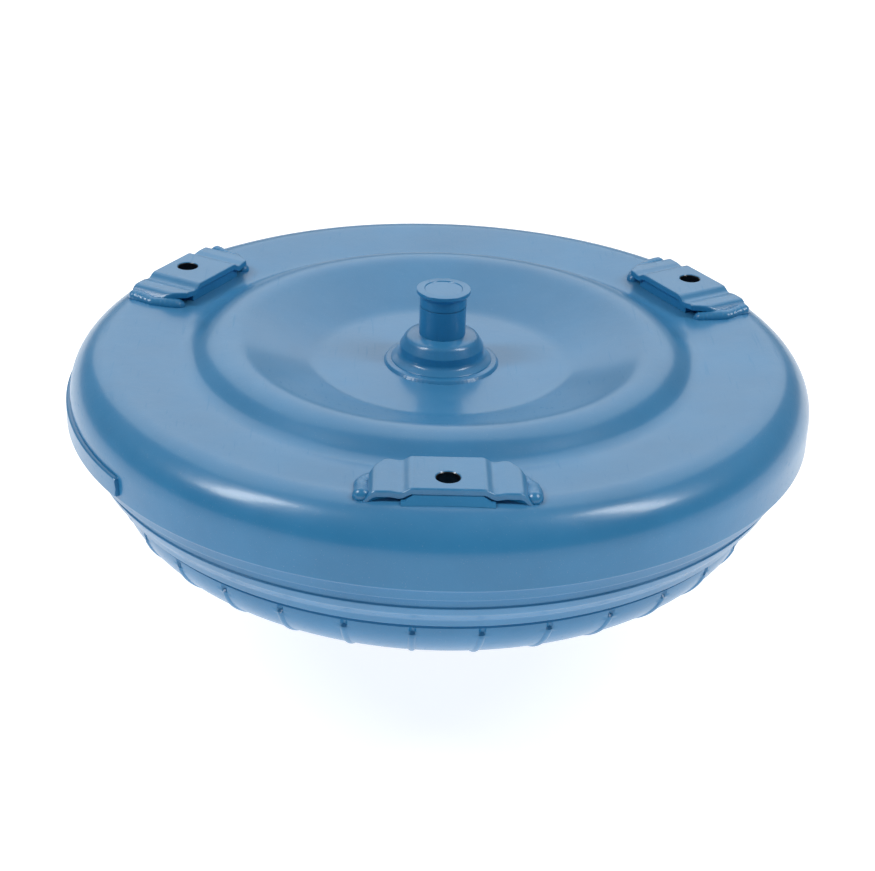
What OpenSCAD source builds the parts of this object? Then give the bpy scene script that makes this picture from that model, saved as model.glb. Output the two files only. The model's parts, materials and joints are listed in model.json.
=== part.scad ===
// Lock-up torque converter for a passenger car's automatic transmission.
// +Z points to the engine. The origin is the centre of the pump hub's end face.
// Heights named _h are measured from the seam plane, the lower edge of the cover's wall.

/* [Housing] */
// Outer radius of the cover's side wall
body_r = 128.5; // [105:0.5:155]
// Height of the seam plane above the pump hub's end
seam_z = 85; // [78:0.5:102]
// Thickness of the cover's sheet
cover_t = 4; // [3:0.1:4.8]
// Radius of the cover's flat centre disc
disc_r = 44.1; // [40:0.1:48]
// Height of the centre disc
disc_h = 16.9; // [16.9:0.1:20]
// Rise of the annular ridge's corner above the centre disc, before rounding
ridge_rise = 12.2; // [10:0.1:15]
// Distance from the side wall in to the ridge's corner
ridge_inset = 52.7; // [50:0.1:54]
// Distance from the side wall in to the foot of the ridge
foot_inset = 40.2; // [38:0.1:42]
// Height of the ridge's foot
foot_h = 21; // [20.5:0.1:22]
// Height of the land's corner with the side wall, before rounding
shoulder_h = 25.5; // [25:0.1:28]
// Radius that rounds the shoulder
shoulder_round = 16.3; // [8:0.1:17]
// Thickness of the impeller shell
shell_t = 3; // [2.4:0.1:3.6]
// Depth of the impeller shell's bowl
bowl_depth = 24.2; // [22:0.1:29]
// Number of vane marks pressed into the impeller shell
mark_count = 33; // [24:1:40]

/* [Crankshaft pilot] */
// Radius of the pilot's stem
pilot_r = 8.1; // [6:0.1:10]
// Radius of the pilot's locating rim
pilot_rim_r = 9.35; // [9.35:0.05:12]
// Length of the pilot above its boss
pilot_len = 16.7; // [14:0.1:20]
// Radius of the pilot's boss at the weld
boss_r = 17.6; // [15:0.1:21]

/* [Flexplate lugs] */
// Number of lugs
lug_count = 3; // [3:1:6]
// Distance from the side wall in to the bolt circle
lug_inset = 20.3; // [19:0.1:21]
// Height of the lug's raised pad
pad_h = 28.2; // [27.6:0.1:32]
// Half the length of the raised pad
pad_half = 11.2; // [9:0.1:12]
// Radius of the tapped hole for an M8 bolt
lug_hole_r = 3.6; // [3:0.1:4.4]
// Thickness of the lug's strap
strap_t = 2.2; // [1.8:0.1:2.6]

/* [Pump hub] */
// Outer radius of the pump hub
hub_r = 22; // [21:0.1:23]
// Bore radius of the pump hub
hub_bore_r = 18.5; // [17.5:0.1:19]
// Width of a pump drive slot
slot_w = 10; // [8:0.1:12]
// Depth of a pump drive slot
slot_depth = 9; // [7:0.1:11]

/* [Stator and one-way clutch] */
// Radius of the inner race's roller track
race_r = 24; // [23.6:0.1:24.2]
// Radius of a clutch roller
roller_r = 3; // [2.6:0.1:3.2]
// Number of clutch rollers
roller_count = 10; // [8:1:12]
// Inner radius of the stator's blade ring
stator_ri = 38; // [37:0.1:39]
// Outer radius of the stator's blades
stator_ro = 54.5; // [50:0.5:54.5]
// Number of stator blades
blade_count = 15; // [11:1:19]

/* [Turbine and damper] */
// Number of turbine vanes
turbine_vane_count = 29; // [23:2:33]
// Number of impeller vanes
impeller_vane_count = 31; // [23:2:35]
// Half the turbine's depth above the split plane
turbine_depth = 19; // [17:0.1:19.5]
// Tip radius of the input shaft's spline in the turbine hub
spline_r = 11.5; // [10:0.1:12]
// Number of damper springs
spring_count = 6; // [4:1:8]
// Outer radius of a damper spring's coil
spring_coil_r = 6.5; // [5.5:0.1:6.8]
// Stroke of the lock-up piston
piston_stroke = 1.1; // [0.8:0.1:1.2]

/* [Hidden] */
$fn = 96;

PAINT = [0.33, 0.56, 0.74];
STEEL = [0.62, 0.63, 0.65];
DARK_STEEL = [0.38, 0.39, 0.41];
ALUMINIUM = [0.78, 0.79, 0.80];
BRASS = [0.72, 0.58, 0.32];
PAPER = [0.42, 0.32, 0.22];
POLYMER = [0.16, 0.16, 0.17];

// Seating gap between a welded-on piece and the cover under it
seat_gap = 0.02;
// Gap between pieces of one rotor that are pressed or riveted face to face
fit_gap = 0.02;

wall_ri = body_r - cover_t;
ridge_r = body_r - ridge_inset;
foot_r = body_r - foot_inset;
ridge_h = disc_h + ridge_rise;
face_h = disc_h - cover_t;
clutch_face_h = foot_h - 2.8;
pilot_base_h = disc_h + 10.7;
pilot_top_h = pilot_base_h + pilot_len;
lug_r = body_r - lug_inset;
bead_h = 5;

// The torus section: an ellipse about (torus_r, split_h)
split_h = -20;
torus_ro = body_r - 14.5;
torus_ri = stator_ri - shell_t;
torus_r = (torus_ro + torus_ri) / 2;
torus_a = (torus_ro - torus_ri) / 2;
turbine_split_h = split_h + 1.5;
turbine_a = torus_a - shell_t - 0.6;
turbine_t = 1.8;
core_a = torus_a - shell_t - 19;
core_b = 8;
core_t = 1.2;
vane_t = 1;
vane_gap = 0.05;

// The stack of parts along the axis, from the pump hub's flange up
hub_flange_h = split_h - 14;
hub_flange_t = 3;
hub_flange_r = stator_ri - 4;
hub_seat_r = hub_r - 0.6;
bearing_t = 3.6;
bearing_race_t = 0.8;
bearing_ri = 24.3;
bearing_ro = 29;
needle_count = 24;
needle_r = (bearing_t - 2 * bearing_race_t) / 2 - 0.1;
stator_bottom_h = hub_flange_h + bearing_t;
stator_top_h = stator_bottom_h + 15;
cam_bottom_h = stator_bottom_h + 1.8;
cam_top_h = cam_bottom_h + 9.8;
cap_top_h = cam_top_h + 1.8;
turbine_hub_h = cap_top_h + bearing_t;
rivet_flange_h = turbine_hub_h + 1.6;
rivet_flange_t = 4;
turbine_hub_top_h = face_h - 3.6;
rivet_circle_r = 33.5;
rivet_r = 2.5;
rivet_count = 8;

// The damper and the lock-up clutch
seal_r = 23.5;
plate_t = 1.8;
plate_bottom_h = turbine_split_h + turbine_depth + 0.9;
spring_r = body_r - 31.5;
spring_wire_r = 1.75;
spring_h = plate_bottom_h + 4.1;
tab_half_deg = 3.5;
piston_t = 2;
lining_t = 0.8;
piston_top_h = clutch_face_h - piston_stroke - 0.1 - lining_t;
piston_inner_top_h = face_h - piston_stroke - 2.3;
retainer_top_h = piston_top_h - piston_t - 0.4;
retainer_t = 1.4;
retainer_ro = spring_r + spring_coil_r + 2.3;

// Unit vector from p to q
function toward(p, q) = (q - p) / norm(q - p);

// Points of a circular arc about c, from angle a0 to a1 in n steps
function arc(c, r, a0, a1, n) =
    [for (i = [0:n]) c + r * [cos(a0 + (a1 - a0) * i / n), sin(a0 + (a1 - a0) * i / n)]];

// Points of an arc on an ellipse about c with half axes a and b
function ellipse_arc(c, a, b, a0, a1, n) =
    [for (i = [0:n]) c + [a * cos(a0 + (a1 - a0) * i / n), b * sin(a0 + (a1 - a0) * i / n)]];

// An arc of radius r that rounds corner q between p and s, limited by its two sides
function corner(p, q, s, r) =
    let (u = toward(q, p), v = toward(q, s))
    let (half = acos(u * v) / 2)
    let (room = 0.62 * min(norm(p - q), norm(s - q)))
    let (rr = min(r, room * tan(half)))
    let (m = q + toward([0, 0], u + v) * rr / sin(half))
    let (a = q + u * rr / tan(half), b = q + v * rr / tan(half))
    let (a0 = atan2(a[1] - m[1], a[0] - m[0]), a1 = atan2(b[1] - m[1], b[0] - m[0]))
    let (turn = (a1 - a0 > 180) ? a1 - a0 - 360 : (a1 - a0 < -180) ? a1 - a0 + 360 : a1 - a0)
    arc(m, rr, a0, a0 + turn, max(2, ceil(abs(turn) / 7.5)));

// An outline from rows of [radius, height, rounding]
function outline(rows) =
    let (n = len(rows))
    [for (i = [0:n - 1])
        let (q = [rows[i][0], rows[i][1]])
        let (p = [rows[max(i - 1, 0)][0], rows[max(i - 1, 0)][1]])
        let (s = [rows[min(i + 1, n - 1)][0], rows[min(i + 1, n - 1)][1]])
        each (rows[i][2] > 0 && i > 0 && i < n - 1) ? corner(p, q, s, rows[i][2]) : [q]];

// Points of a toothed outline, as a female spline's cutter
function spline_points(teeth, tip_r, root_r) =
    [for (i = [0:teeth - 1]) for (step = [[0, root_r], [0.3, root_r], [0.45, tip_r], [0.85, tip_r]])
        step[1] * [cos((i + step[0]) * 360 / teeth), sin((i + step[0]) * 360 / teeth)]];

module from_seam() {
    translate([0, 0, seam_z]) children();
}

module turned(points) {
    rotate_extrude() polygon(points);
}

module ring(r_in, r_out, h0, h1) {
    turned([[r_in, h0], [r_out, h0], [r_out, h1], [r_in, h1]]);
}

module around(count, start = 0) {
    for (i = [0:count - 1]) rotate([0, 0, start + i * 360 / count]) children();
}

// A block that spans half_deg each side of +X between two radii and two heights
module sector(r_in, r_out, h0, h1, half_deg) {
    rotate([0, 0, -half_deg])
        rotate_extrude(angle = 2 * half_deg) polygon([[r_in, h0], [r_out, h0], [r_out, h1], [r_in, h1]]);
}

// ---- Housing ----

function cover_outer() = outline([
    [0, disc_h, 0], [disc_r, disc_h, 0.8], [ridge_r, ridge_h, 16], [foot_r, foot_h, 10],
    [body_r, shoulder_h, shoulder_round], [body_r, 0, 1], [wall_ri, 0, 0]]);

function cover_inner() = outline([
    [wall_ri, 0, 0], [wall_ri, clutch_face_h, 12], [foot_r - 1.8, clutch_face_h, 4],
    [ridge_r, ridge_h - cover_t - 0.5, 12], [disc_r + 1.2, face_h, 2], [0, face_h, 0]]);

module front_cover() {
    color(PAINT) from_seam() turned(concat(cover_outer(), cover_inner()));
}

// The space below the cover's outer face, used to seat what is welded on top of it
module under_cover() {
    translate([0, 0, seat_gap]) turned(concat(cover_outer(), [[0, 0]]));
}

module crankshaft_pilot() {
    rim_h = pilot_top_h - 1.4;
    groove_h = pilot_base_h + 10.3;
    color(PAINT) from_seam() turned(outline([
        [0, disc_h, 0], [boss_r, disc_h, 0], [boss_r, disc_h + 1.4, 0.6],
        [boss_r - 2.9, disc_h + 3.2, 2], [boss_r - 3, disc_h + 6.4, 1.2],
        [pilot_r + 4.4, pilot_base_h - 0.6, 3], [pilot_r, pilot_base_h, 0],
        [pilot_r, groove_h, 0], [pilot_r - 0.35, groove_h, 0], [pilot_r - 0.35, groove_h + 0.5, 0],
        [pilot_r, groove_h + 0.5, 0], [pilot_r, rim_h - 1.3, 0.8], [pilot_rim_r, rim_h, 0],
        [pilot_rim_r, pilot_top_h - 0.2, 0.2], [pilot_rim_r - 2.7, pilot_top_h, 0.3],
        [pilot_rim_r - 3, pilot_top_h - 0.3, 0], [0, pilot_top_h - 0.3, 0]]));
}

module pilot_weld() {
    color(PAINT) from_seam() turned(outline([
        [boss_r, disc_h, 0], [boss_r + 2.5, disc_h, 0], [boss_r + 1.8, disc_h + 0.9, 1],
        [boss_r, disc_h + 1.1, 0]]));
}

// Lug pieces are drawn about +Y, the outward direction, and turned to their places
module at_lugs() {
    from_seam() around(lug_count, 180) translate([0, lug_r, 0]) children();
}

strap_half = pad_half + 11.3;
strap_foot = strap_half + 4.4;
strap_in = -13.5;
strap_out = 7.6;
shelf_h = pad_h - 1.2;
foot_drop_h = foot_h - 2;

function strap_side() = [
    [pad_half, pad_h], [pad_half + 2.8, pad_h - 1.7], [pad_half + 6, shelf_h], [strap_half, shelf_h],
    [strap_foot + 1.2, foot_drop_h], [strap_foot - 1.4, foot_drop_h],
    [strap_half - 1.2, shelf_h - strap_t], [pad_half + 2.4, pad_h - 1.7 - strap_t],
    [pad_half - 0.9, pad_h - strap_t]];

function mirrored(points) = [for (i = [len(points) - 1:-1:0]) [-points[i][0], points[i][1]]];

module strap_blank() {
    intersection() {
        translate([0, strap_out, 0]) rotate([90, 0, 0])
            linear_extrude(strap_out - strap_in) polygon(strap_loop());
        translate([0, 0, foot_drop_h - 1]) linear_extrude(pad_h) polygon([
            [-strap_foot - 2, strap_out], [-strap_foot - 2, strap_in + 11],
            [-strap_half + 3.5, strap_in], [strap_half - 3.5, strap_in],
            [strap_foot + 2, strap_in + 11], [strap_foot + 2, strap_out]]);
    }
}

// The strap's outline: its top from left foot to right foot, then its underside back
function strap_loop() =
    let (s = strap_side(), top = [for (i = [0:4]) s[i]], low = [for (i = [5:8]) s[i]])
    concat(mirrored(top), top, low, mirrored(low));

module lug_hole() {
    relief_h = pad_h - 4.3;
    cylinder(r = lug_hole_r, h = pad_h + 1);
    cylinder(r = lug_hole_r + 0.6, h = relief_h);
}

module lug_straps() {
    color(PAINT) difference() {
        at_lugs() difference() {
            strap_blank();
            lug_hole();
            translate([0, 0, pad_h - 0.8]) cylinder(r1 = lug_hole_r, r2 = lug_hole_r + 1, h = 1);
        }
        from_seam() under_cover();
    }
}

module lug_nuts() {
    nut_half = pad_half + 2.9;
    nut_top_h = pad_h - strap_t - fit_gap;
    shelf_top_h = nut_top_h - 1.75;
    color(PAINT) difference() {
        at_lugs() difference() {
            intersection() {
                translate([0, strap_out + 4, 0]) rotate([90, 0, 0]) linear_extrude(30) polygon([
                    [-nut_half, foot_drop_h], [nut_half, foot_drop_h], [nut_half, shelf_top_h],
                    [pad_half + 1.9, shelf_top_h], [pad_half - 1, nut_top_h], [-pad_half + 1, nut_top_h],
                    [-pad_half - 1.9, shelf_top_h], [-nut_half, shelf_top_h]]);
                rotate([90, 0, 90]) linear_extrude(4 * pad_half, center = true) polygon([
                    [strap_in + 1.2, foot_drop_h], [strap_in + 1.2, pad_h], [strap_out - 1.3, pad_h],
                    [strap_out - 0.2, nut_top_h], [strap_out + 3, foot_h + 1],
                    [strap_out + 3, foot_drop_h]]);
            }
            lug_hole();
        }
        from_seam() under_cover();
    }
}

// Sloping weld bead along the strap's end and round its cut corner
module weld_bar(len, rise) {
    rotate([90, 0, 0]) linear_extrude(len, center = true) polygon([
        [-3, foot_drop_h], [3.4, foot_drop_h], [3.2, foot_h + rise - 3.2], [2.2, foot_h + rise - 1.4],
        [0.2, foot_h + rise], [-3, foot_h + rise]]);
}

module lug_welds() {
    bead_len = strap_out - strap_in - 9;
    color(PAINT) difference() {
        at_lugs() for (side = [0, 1]) mirror([side, 0, 0]) difference() {
            union() {
                translate([strap_foot - 1.8, strap_out - bead_len / 2 - 0.6, 0])
                    weld_bar(bead_len, 4.8);
                translate([strap_foot - 5.4, strap_in + 6.1, 0]) rotate([0, 0, -41]) weld_bar(11, 4.3);
            }
            weld_clearance();
        }
        from_seam() under_cover();
    }
}

// Everything under and inside the strap's outer face, which a bead may not enter
module weld_clearance() {
    s = strap_side();
    intersection() {
        translate([0, strap_out + 1, 0]) rotate([90, 0, 0]) linear_extrude(strap_out - strap_in + 1 + 0.02)
            polygon([[0, foot_drop_h - 1], [0, pad_h], s[2], s[3] + [fit_gap, 0],
                s[4] + [fit_gap, 0], [s[4][0] + fit_gap, foot_drop_h - 1]]);
        translate([0, 0, foot_drop_h - 2]) linear_extrude(pad_h) polygon([
            [-1, strap_out + 2], [-1, strap_in - fit_gap], [strap_half - 3.5, strap_in - fit_gap],
            [strap_foot + 2 + fit_gap, strap_in + 11 - fit_gap], [strap_foot + 2 + fit_gap, strap_out + 2]]);
    }
}

module seam_weld() {
    color(PAINT) from_seam() turned(outline([
        [wall_ri - 0.1, -bead_h, 0], [wall_ri + 0.3, -bead_h, 0.2], [wall_ri + 0.8, -3.4, 2],
        [wall_ri + 1.5, -1, 1.5], [body_r - 1.4, -seat_gap, 0], [wall_ri - 0.1, -seat_gap, 0]]));
}

module balance_weight() {
    color(PAINT) from_seam() rotate([0, 0, 177])
        rotate_extrude(angle = 40) polygon([
            [body_r + seat_gap, 1.5], [body_r + 1.1, 1.5], [body_r + 1.4, 1.8], [body_r + 1.4, 8.3],
            [body_r + 1.1, 8.6], [body_r + seat_gap, 8.6]]);
}

// Outer face of the impeller shell from the seam down round the bowl to the hub
function shell_outer() = concat(
    outline([
        [wall_ri - 0.1, 6, 0], [wall_ri - 0.1, -bead_h, 0], [wall_ri - 3.2, -bead_h - 0.5, 0.6],
        [wall_ri - 3.6, -bead_h - 4.2, 0.6], [wall_ri - 2.6, -bead_h - 4.8, 0.4],
        [wall_ri - 4, -bead_h - 7.8, 3], [wall_ri - 7.6, -bead_h - 11.6, 4],
        [wall_ri - 8.7, -bead_h - 14.6, 0.5], [torus_ro - 0.7, split_h - 0.7, 0]]),
    ellipse_arc([torus_r, split_h], torus_a, bowl_depth, -4, -138, 19));

function shell_inner() = concat(
    ellipse_arc([torus_r, split_h], torus_a - shell_t, bowl_depth - shell_t, -140, -2, 20),
    outline([
        [torus_ro - shell_t, split_h + 2, 0], [wall_ri - 10.4, -bead_h - 8, 0],
        [wall_ri - 6.6, -bead_h - 5, 0], [wall_ri - 6.4, -bead_h + 1, 0], [wall_ri - 3.1, -bead_h + 3, 0],
        [wall_ri - 3.1, 6, 0]]));

mark_start = 3.5;

// A low meridional rib pressed out of the bowl, one for each vane's slot
module vane_mark() {
    mark_deg = 1.1;
    mark_rise = 0.6;
    rotate_extrude(angle = mark_deg) polygon(concat(
        ellipse_arc([torus_r, split_h], torus_a + mark_rise, bowl_depth + mark_rise, -11, -64, 8),
        ellipse_arc([torus_r, split_h], torus_a - 1.5, bowl_depth - 1.5, -66, -9, 8)));
}

module impeller_shell() {
    color(PAINT) from_seam() {
        turned(concat(
            shell_outer(),
            [[hub_flange_r + 8, hub_flange_h - hub_flange_t],
             [hub_flange_r + fit_gap, hub_flange_h - hub_flange_t],
             [hub_flange_r + fit_gap, hub_flange_h], [hub_flange_r + 10, hub_flange_h]],
            shell_inner()));
        around(mark_count, mark_start) vane_mark();
    }
}

module vane(points, lean) {
    rotate([90, 0, lean]) linear_extrude(vane_t, center = true) polygon(points);
}

module impeller_vanes() {
    c = [torus_r, split_h];
    color(STEEL) from_seam() around(impeller_vane_count) vane(concat(
        ellipse_arc(c, torus_a - shell_t - vane_gap - 0.15, bowl_depth - shell_t - vane_gap - 0.15,
            -3, -150, 18),
        [[stator_ro + 3, stator_bottom_h + 1.9]],
        ellipse_arc(c, core_a + vane_gap, core_b + 1 + vane_gap, -146, -3, 12)), 0);
}

module impeller_core() {
    c = [torus_r, split_h];
    color(STEEL) from_seam() turned(concat(
        ellipse_arc(c, core_a, core_b + 1, -178, -2, 20),
        ellipse_arc(c, core_a - core_t, core_b + 1 - core_t, -2, -178, 20)));
}

module pump_hub() {
    color(STEEL) difference() {
        from_seam() turned(outline([
            [hub_bore_r, -seam_z, 0], [hub_r - 0.8, -seam_z, 0], [hub_r, -seam_z + 0.8, 0],
            [hub_r, hub_flange_h - hub_flange_t, 0], [hub_seat_r, hub_flange_h - hub_flange_t, 0],
            [hub_seat_r, hub_flange_h, 0], [hub_bore_r, hub_flange_h, 0]]));
        translate([0, 0, slot_depth / 2 - 1]) cube([3 * hub_r, slot_w, slot_depth + 2], center = true);
    }
}

module hub_flange() {
    color(STEEL) from_seam() turned(outline([
        [hub_seat_r + fit_gap, hub_flange_h - hub_flange_t, 0],
        [hub_flange_r, hub_flange_h - hub_flange_t, 0],
        [hub_flange_r, hub_flange_h, 0], [hub_seat_r + fit_gap, hub_flange_h, 0]]));
}

module hub_weld() {
    weld_h = hub_flange_h - hub_flange_t - fit_gap;
    color(PAINT) from_seam() turned(outline([
        [hub_flange_r - 2.6, weld_h, 0], [hub_flange_r + 3, weld_h, 0],
        [hub_flange_r + 1.6, weld_h - 1.9, 1.5], [hub_flange_r - 1.4, weld_h - 1.9, 1.5],
        [hub_flange_r - 2.6, weld_h, 0]]));
}

// ---- Turbine ----

module turbine_shell() {
    c = [torus_r, turbine_split_h];
    color(STEEL) from_seam() difference() {
        turned(concat(
            ellipse_arc(c, turbine_a, turbine_depth, 0, 161, 24),
            [[rivet_circle_r + 4.6, rivet_flange_h - fit_gap],
             [bearing_ro + 0.2, rivet_flange_h - fit_gap],
             [bearing_ro + 0.2, rivet_flange_h - turbine_t],
             [rivet_circle_r + 4.4, rivet_flange_h - turbine_t]],
            ellipse_arc(c, turbine_a - turbine_t, turbine_depth - turbine_t, 163, 0, 24)));
        rivet_holes();
    }
}

module rivet_holes() {
    around(rivet_count) translate([rivet_circle_r, 0, rivet_flange_h - 5])
        cylinder(r = rivet_r + fit_gap, h = 16);
}

module turbine_vanes() {
    c = [torus_r, turbine_split_h];
    color(STEEL) from_seam() around(turbine_vane_count) vane(concat(
        ellipse_arc(c, turbine_a - turbine_t - vane_gap - 0.15, turbine_depth - turbine_t - vane_gap - 0.15,
            3, 162, 18),
        [[stator_ro + 3, stator_top_h + 1.6]],
        ellipse_arc(c, core_a + vane_gap, core_b + vane_gap, 146, 3, 12)), 0);
}

module turbine_core() {
    c = [torus_r, turbine_split_h];
    color(STEEL) from_seam() turned(concat(
        ellipse_arc(c, core_a, core_b, 2, 178, 20),
        ellipse_arc(c, core_a - core_t, core_b - core_t, 178, 2, 20)));
}

module turbine_hub() {
    rivet_top_h = rivet_flange_h + rivet_flange_t;
    color(DARK_STEEL) from_seam() difference() {
        turned(outline([
            [spline_r - 2, turbine_hub_h, 0], [bearing_ro - 0.8, turbine_hub_h, 0],
            [bearing_ro - 0.8, rivet_flange_h, 0], [rivet_circle_r + 4.5, rivet_flange_h, 0],
            [rivet_circle_r + 4.5, rivet_top_h, 0], [seal_r, rivet_top_h, 0],
            [seal_r, turbine_hub_top_h, 0], [spline_r - 2, turbine_hub_top_h, 0]]));
        translate([0, 0, turbine_hub_h - 1]) linear_extrude(turbine_hub_top_h - turbine_hub_h - 3)
            polygon(spline_points(24, spline_r, spline_r + 1.1));
        ring(seal_r - 2.1, seal_r + 1, turbine_hub_top_h - 6.4, turbine_hub_top_h - 4);
        rivet_holes();
    }
}

module hub_rivets() {
    low_h = rivet_flange_h - turbine_t - fit_gap;
    high_h = rivet_flange_h + rivet_flange_t + plate_t + 2 * fit_gap;
    color(DARK_STEEL) from_seam() around(rivet_count) translate([rivet_circle_r, 0, 0]) {
        rotate_extrude($fn = 32) polygon([
            [0, low_h - 0.9], [2.9, low_h - 0.9], [3.3, low_h - fit_gap], [rivet_r, low_h - fit_gap],
            [rivet_r, high_h], [3.6, high_h], [2.9, high_h + 1.2], [0, high_h + 1.2]]);
    }
}

module damper_plate() {
    base_h = rivet_flange_h + rivet_flange_t + fit_gap;
    spread_r = torus_r - 20.5;
    color(STEEL) from_seam() {
        difference() {
            union() {
                turned([
                    [seal_r + 0.1, base_h], [rivet_circle_r + 7.5, base_h], [spread_r, plate_bottom_h],
                    [spring_r - spring_coil_r - 4, plate_bottom_h],
                    [spring_r - spring_coil_r - 4, plate_bottom_h + plate_t],
                    [spread_r - 1, plate_bottom_h + plate_t], [rivet_circle_r + 6.5, base_h + plate_t],
                    [seal_r + 0.1, base_h + plate_t]]);
                around(spring_count) sector(spring_r - spring_coil_r - 5, spring_r + spring_coil_r - 1,
                    plate_bottom_h, plate_bottom_h + plate_t, tab_half_deg);
            }
            rivet_holes();
        }
    }
}

module piston_seal() {
    color(POLYMER) from_seam()
        ring(seal_r - 1.7, seal_r - 0.02, turbine_hub_top_h - 6.3, turbine_hub_top_h - 4.1);
}

module cover_thrust_washer() {
    color(POLYMER) from_seam() difference() {
        ring(spline_r + 2, seal_r - 1.5, turbine_hub_top_h + fit_gap, face_h - 0.2);
        around(6) translate([seal_r - 6, 0, face_h - 0.8]) cube([16, 2, 2], center = true);
    }
}

module bearing_race(h) {
    ring(bearing_ri, bearing_ro - 0.2, h, h + bearing_race_t);
}

module turbine_bearing_upper_race() {
    color(STEEL) from_seam() bearing_race(turbine_hub_h - bearing_race_t - fit_gap);
}

// ---- Damper and lock-up clutch ----

module spring_retainer() {
    inner_r = spring_r - spring_coil_r - 4.5;
    color(STEEL) from_seam() {
        difference() {
            union() {
                ring(inner_r, retainer_ro, retainer_top_h - retainer_t, retainer_top_h);
                ring(retainer_ro - 1.5, retainer_ro, plate_bottom_h - 1.9, retainer_top_h - 0.5);
                around(spring_count) sector(spring_r - spring_coil_r, spring_r + spring_coil_r - 0.6,
                    spring_h + 1.2, retainer_top_h - 0.5, tab_half_deg);
            }
            around(spring_count, 180 / spring_count)
                sector(inner_r - 1, inner_r + 2.6, retainer_top_h - 3, retainer_top_h + 1, tab_half_deg + 0.8);
        }
    }
}

// A coil wound along an arc of the spring circle, as rings of a six-sided wire
module damper_springs() {
    free_deg = 360 / spring_count - 2 * tab_half_deg - 1.2;
    turns = 8;
    per_turn = 8;
    sides = 6;
    rings = turns * per_turn;
    coil = spring_coil_r - spring_wire_r;
    wire_deg = spring_wire_r / spring_r * 180 / PI;
    function along(i) = wire_deg - free_deg / 2 + (free_deg - 2 * wire_deg) * i / rings;
    function radial(i) = [cos(along(i)), sin(along(i)), 0];
    function outward(i) = radial(i) * cos(i * 360 / per_turn) + [0, 0, sin(i * 360 / per_turn)];
    function centre(i) = radial(i) * spring_r + outward(i) * coil + [0, 0, spring_h];
    function forward(i) = let (d = centre(i + 0.5) - centre(i - 0.5)) d / norm(d);
    points = [for (i = [0:rings]) for (k = [0:sides - 1])
        let (n = outward(i), b = cross(forward(i), n))
        centre(i) + spring_wire_r * (n * cos(k * 360 / sides) + b * sin(k * 360 / sides))];
    walls = [for (i = [0:rings - 1]) for (k = [0:sides - 1])
        let (m = (k + 1) % sides)
        each [[i * sides + k, i * sides + m, (i + 1) * sides + m],
              [i * sides + k, (i + 1) * sides + m, (i + 1) * sides + k]]];
    ends = [[for (k = [sides - 1:-1:0]) k], [for (k = [0:sides - 1]) rings * sides + k]];
    color(DARK_STEEL) from_seam() around(spring_count, 180 / spring_count)
        polyhedron(points, concat(walls, ends));
}

module lockup_piston() {
    low_h = piston_inner_top_h - piston_t;
    flat_h = piston_top_h - piston_t;
    tab_r = spring_r - spring_coil_r - 4.5;
    rise_r = disc_r + 0.46 * (ridge_r - disc_r);
    color(STEEL) from_seam() {
        turned(outline([
            [seal_r + 0.05, turbine_hub_top_h - 7, 0], [seal_r + 3.5, turbine_hub_top_h - 7, 0],
            [seal_r + 3.5, low_h, 1], [disc_r - 1, low_h, 2], [rise_r + 0.5, flat_h, 3],
            [body_r - 17.5, flat_h, 0], [body_r - 17.5, piston_top_h, 0],
            [rise_r, piston_top_h, 3], [disc_r - 1, piston_inner_top_h, 2],
            [seal_r + 0.05, piston_inner_top_h, 0]]));
        around(spring_count, 180 / spring_count)
            sector(tab_r + 0.3, tab_r + 2.2, retainer_top_h - 2.4, piston_top_h - 0.5, tab_half_deg);
    }
}

module friction_lining() {
    color(PAPER) from_seam() difference() {
        ring(body_r - 37.5, body_r - 20.5, piston_top_h + fit_gap, piston_top_h + lining_t);
        around(12) translate([body_r - 29, 0, piston_top_h + lining_t]) rotate([0, 0, 25])
            cube([24, 1.6, 0.8], center = true);
    }
}

// ---- Stator and its one-way clutch ----

module blade() {
    chord = stator_top_h - stator_bottom_h - 3.6;
    translate([stator_ri - 0.8, 0, (stator_top_h + stator_bottom_h) / 2 + 0.6]) rotate([0, 90, 0])
        linear_extrude(stator_ro - stator_ri + 1.3) polygon([
            [chord / 2, 3.4], [chord / 2 - 2, 3.5], [1.5, 1.9], [-2.5, -0.6], [-chord / 2, -4.2],
            [-chord / 2, -4.9], [-2.2, -2.2], [2.5, -0.4], [chord / 2, 1.2]]);
}

module stator_wheel() {
    cam_seat_r = stator_ri - 3;
    color(ALUMINIUM) from_seam() {
        turned([
            [race_r + 0.7, stator_bottom_h], [stator_ri, stator_bottom_h], [stator_ri, stator_top_h],
            [cam_seat_r, stator_top_h], [cam_seat_r, cam_bottom_h], [race_r + 0.7, cam_bottom_h]]);
        ring(stator_ro - 0.5, stator_ro + 1.5, stator_bottom_h + 4.6, stator_top_h - 0.7);
        around(blade_count, 180 / blade_count) blade();
    }
}

roller_track_r = race_r + roller_r + 0.08;

module clutch_cam() {
    slot_len = 5.4;
    color(DARK_STEEL) from_seam() difference() {
        ring(race_r + 0.7, stator_ri - 3.02, cam_bottom_h + fit_gap, cam_top_h);
        around(roller_count) {
            translate([roller_track_r, 0, cam_bottom_h - 1]) cylinder(r = roller_r + 0.15, h = 12);
            translate([race_r, 0, cam_bottom_h - 1]) cube([roller_r + 2.6, roller_r + slot_len, 12]);
        }
    }
}

module clutch_rollers() {
    color(STEEL) from_seam() around(roller_count)
        translate([roller_track_r, 0, cam_bottom_h + 0.3]) cylinder(r = roller_r, h = cam_top_h - cam_bottom_h - 0.6);
}

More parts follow.
